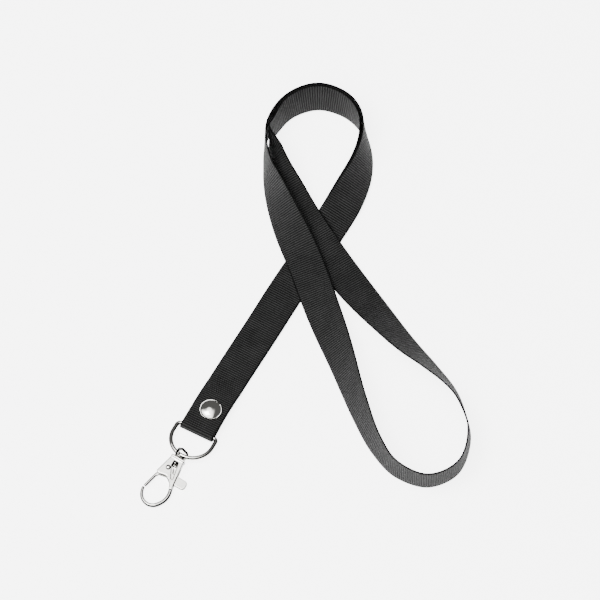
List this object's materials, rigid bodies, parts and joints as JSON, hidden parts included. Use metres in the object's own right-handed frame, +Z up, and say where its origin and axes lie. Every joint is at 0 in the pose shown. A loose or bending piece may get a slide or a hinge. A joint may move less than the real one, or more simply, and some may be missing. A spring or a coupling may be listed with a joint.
{
  "type": "neck lanyard",
  "caption": "Flat black webbing neck lanyard lying in a crossed loop, its riveted end holding a D-ring and a swivel trigger hook.",
  "frame": {"origin": "on the table under the middle of the lanyard as it lies", "axes": "+Y from the hook's side towards the top of the small arch, +X towards the large loop's side, +Z up off the table"},
  "size_m": [0.1818, 0.2534, 0.0205],
  "materials": {
    "webbing": "fine cross-ribbed weave, matt black",
    "bright_nickel": "polished nickel plate",
    "plain_steel": "plain steel, mostly hidden"
  },
  "bodies": {
    "strap_end": {"strap": "webbing", "rivet_front_shell": "bright_nickel", "rivet_front_socket": "plain_steel", "rivet_back_shell": "bright_nickel", "rivet_back_post": "plain_steel"},
    "ring": {"d_ring": "bright_nickel"},
    "eye": {"swivel_eye": "bright_nickel"},
    "hook": {"hook_body": "bright_nickel", "gate_pin": "bright_nickel", "gate_spring": "plain_steel"},
    "gate": {"gate_lever": "bright_nickel"}
  },
  "joints": [
    {"name": "ring_swing", "type": "hinge", "parent": "strap_end", "child": "ring", "pos_m": [-0.05928, -0.08097, 0.00353], "axis": [0.8829, -0.4695, 0], "range_deg": [-100, 100]},
    {"name": "eye_swing", "type": "hinge", "parent": "ring", "child": "eye", "pos_m": [-0.06833, -0.09628, 0.00415], "axis": [0.8497, -0.5273, 0.0023], "range_deg": [-60, 60]},
    {"name": "hook_swivel", "type": "hinge", "parent": "eye", "child": "hook", "pos_m": [-0.06958, -0.0982, 0.00394], "axis": [-0.5424, -0.8352, -0.0906], "continuous": true},
    {"name": "gate_hinge", "type": "hinge", "parent": "hook", "child": "gate", "pos_m": [-0.07526, -0.10401, 0.00322], "axis": [-0.0494, -0.076, 0.9959], "range_deg": [0, 25], "stiffness_Nm_per_rad": 0.06, "springref_deg": -28.65, "deforming": ["gate_spring"]}
  ]
}
